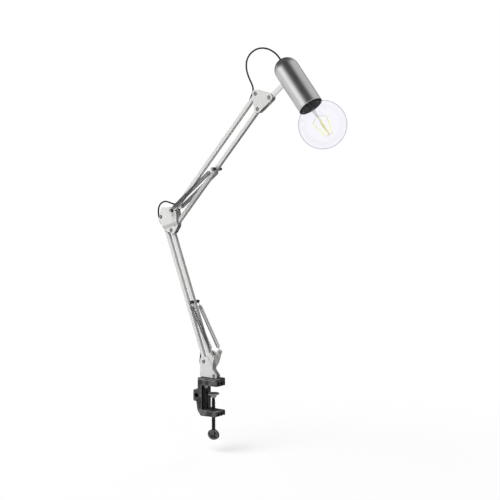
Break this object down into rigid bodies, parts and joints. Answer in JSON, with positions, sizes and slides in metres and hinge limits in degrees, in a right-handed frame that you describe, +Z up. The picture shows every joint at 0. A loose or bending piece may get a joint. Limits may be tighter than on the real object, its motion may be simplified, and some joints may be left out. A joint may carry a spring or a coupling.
{
  "type": "clamp lamp",
  "caption": "Spring-balanced clamp lamp: two parallel-linkage arms on a C-clamp carry a tilting cylindrical head with a clear globe bulb.",
  "frame": {"origin": "point of the upper jaw's underside on the screw's axis, which sits on the desk top", "axes": "+Z up along the screw, +X out of the clamp's mouth towards the lamp's head, Y across the lamp"},
  "size_m": [0.4732, 0.095, 0.815],
  "materials": {
    "clamp_black": "black powder coat, mottled",
    "black_steel": "blackened steel",
    "zinc_plate": "zinc plated steel",
    "black_plastic": "black moulded plastic",
    "white_paint": "warm white satin paint",
    "rivet_nickel": "nickel plated steel",
    "white_nylon": "natural nylon",
    "cord_black": "black PVC",
    "spring_steel": "drawn spring wire",
    "satin_nickel": "satin nickel",
    "holder_black": "black phenolic",
    "cap_nickel": "nickel plated",
    "clear_glass": "clear glass",
    "stem_glass": "clear glass",
    "filament_yellow": "pale yellow phosphor"
  },
  "bodies": {
    "clamp": {"clamp_body": "clamp_black", "swivel_washer": "black_plastic"},
    "pad": {"pressure_pad": "zinc_plate"},
    "screw": {"clamp_screw": "black_steel", "screw_handle": "clamp_black"},
    "bracket": {"base_post": "zinc_plate", "base_bracket": "white_paint", "base_rivets": "rivet_nickel", "base_spacers": "white_nylon", "cord_gland": "black_plastic", "cord_base_lower": "cord_black"},
    "lower_rear": {"lower_rear_tube": "white_paint", "cord_in_lower_tube": "cord_black", "cord_base_upper": "cord_black", "cord_elbow_lower": "cord_black"},
    "lower_front": {"lower_front_tube": "white_paint", "lower_spring_pin": "rivet_nickel", "lower_spring_sleeves": "black_plastic", "lower_spring_eyes": "spring_steel"},
    "lower_spring": {"lower_spring_hooks": "spring_steel"},
    "lower_spring_end": {"lower_spring_near": "spring_steel", "lower_spring_far": "spring_steel"},
    "elbow": {"elbow_plate_near": "white_paint", "elbow_plate_far": "white_paint", "elbow_rear_rivet": "rivet_nickel", "elbow_front_rivets": "rivet_nickel", "elbow_spring_pin": "rivet_nickel", "elbow_spring_sleeves": "black_plastic", "elbow_spacers": "white_nylon"},
    "upper_rear": {"upper_rear_tube": "white_paint", "cord_in_upper_tube": "cord_black", "cord_elbow_upper": "cord_black", "cord_head_lower": "cord_black"},
    "upper_front": {"upper_front_tube": "white_paint", "upper_spring_pin": "rivet_nickel", "upper_spring_sleeves": "black_plastic", "upper_spring_eyes": "spring_steel"},
    "upper_spring": {"upper_spring_hooks": "spring_steel"},
    "upper_spring_end": {"upper_spring_near": "spring_steel", "upper_spring_far": "spring_steel"},
    "head_bracket": {"head_plate_near": "white_paint", "head_plate_far": "white_paint", "head_rivets": "rivet_nickel", "head_spacers": "white_nylon", "tilt_bolt": "rivet_nickel", "tilt_nut": "zinc_plate"},
    "head": {"head_stem": "satin_nickel", "stem_nut": "zinc_plate", "head_cover": "satin_nickel", "cord_grommet": "black_plastic", "holder_bracket": "zinc_plate", "lamp_holder": "holder_black", "holder_shell": "rivet_nickel", "bulb_cap": "cap_nickel", "bulb_glass": "clear_glass", "bulb_stem": "stem_glass", "filament_wires": "cap_nickel", "bulb_filaments": "filament_yellow", "cord_head_upper": "cord_black"}
  },
  "joints": [
    {"name": "pad_feed", "type": "slide", "parent": "clamp", "child": "pad", "axis": [0, 0, 1], "range_m": [-0.026, 0.016]},
    {"name": "screw_turn", "type": "hinge", "parent": "pad", "child": "screw", "pos_m": [0, 0, -0.08], "axis": [0, 0, 1], "range_deg": [-4710, 2910]},
    {"name": "base_swivel", "type": "hinge", "parent": "clamp", "child": "bracket", "pos_m": [-0.0215, 0, 0.015], "axis": [0, 0, 1], "continuous": true},
    {"name": "lower_arm", "type": "hinge", "parent": "bracket", "child": "lower_rear", "pos_m": [-0.0215, 0, 0.0485], "axis": [0, 1, 0], "range_deg": [-10, 50], "deforming": ["cord_base_upper", "cord_base_lower", "cord_elbow_lower"]},
    {"name": "lower_link", "type": "hinge", "parent": "bracket", "child": "lower_front", "pos_m": [0.006, 0, 0.0205], "axis": [0, 1, 0], "range_deg": [-10, 50]},
    {"name": "elbow_level", "type": "hinge", "parent": "lower_rear", "child": "elbow", "pos_m": [-0.13797, 0, 0.35191], "axis": [0, 1, 0], "range_deg": [-50, 10]},
    {"name": "upper_arm", "type": "hinge", "parent": "elbow", "child": "upper_rear", "pos_m": [-0.10547, 0, 0.36641], "axis": [0, 1, 0], "range_deg": [-34, 50], "deforming": ["cord_elbow_upper"]},
    {"name": "upper_link", "type": "hinge", "parent": "elbow", "child": "upper_front", "pos_m": [-0.09997, 0, 0.33541], "axis": [0, 1, 0], "range_deg": [-34, 50]},
    {"name": "head_level", "type": "hinge", "parent": "upper_rear", "child": "head_bracket", "pos_m": [0.1141, 0, 0.60603], "axis": [0, 1, 0], "range_deg": [-50, 34], "deforming": ["cord_head_lower"]},
    {"name": "head_tilt", "type": "hinge", "parent": "head_bracket", "child": "head", "pos_m": [0.1481, 0, 0.59703], "axis": [0, 1, 0], "range_deg": [-60, 60], "deforming": ["cord_head_upper"]},
    {"name": "lower_spring_swing", "type": "hinge", "parent": "bracket", "child": "lower_spring", "pos_m": [0.0088, 0, 0.0698], "axis": [0, 1, 0], "range_deg": [-14.47, 70.35]},
    {"name": "lower_spring_stretch", "type": "slide", "parent": "lower_spring", "child": "lower_spring_end", "axis": [-0.5114, 0, 0.8594], "range_m": [-0.00486, 0.00137], "deforming": ["lower_spring_near", "lower_spring_far"]},
    {"name": "upper_spring_swing", "type": "hinge", "parent": "elbow", "child": "upper_spring", "pos_m": [-0.10547, 0, 0.36641], "axis": [0, 1, 0], "range_deg": [-36.54, 53.5]},
    {"name": "upper_spring_stretch", "type": "slide", "parent": "upper_spring", "child": "upper_spring_end", "axis": [0.7926, 0, 0.6098], "range_m": [-0.01593, 0.02319], "deforming": ["upper_spring_near", "upper_spring_far"]}
  ],
  "couplings": [
    {"joint": "screw_turn", "follows": "pad_feed", "rad_per_m": 3141.6},
    {"joint": "lower_link", "follows": "lower_arm", "ratio": 1},
    {"joint": "elbow_level", "follows": "lower_arm", "ratio": -1},
    {"joint": "upper_link", "follows": "upper_arm", "ratio": 1},
    {"joint": "head_level", "follows": "upper_arm", "ratio": -1},
    {"joint": "lower_spring_swing", "follows": "lower_arm", "ratio": 1.397},
    {"joint": "lower_spring_stretch", "follows": "lower_arm", "m_per_rad": -0.005},
    {"joint": "upper_spring_swing", "follows": "upper_arm", "ratio": 1.06},
    {"joint": "upper_spring_stretch", "follows": "upper_arm", "m_per_rad": 0.026}
  ]
}
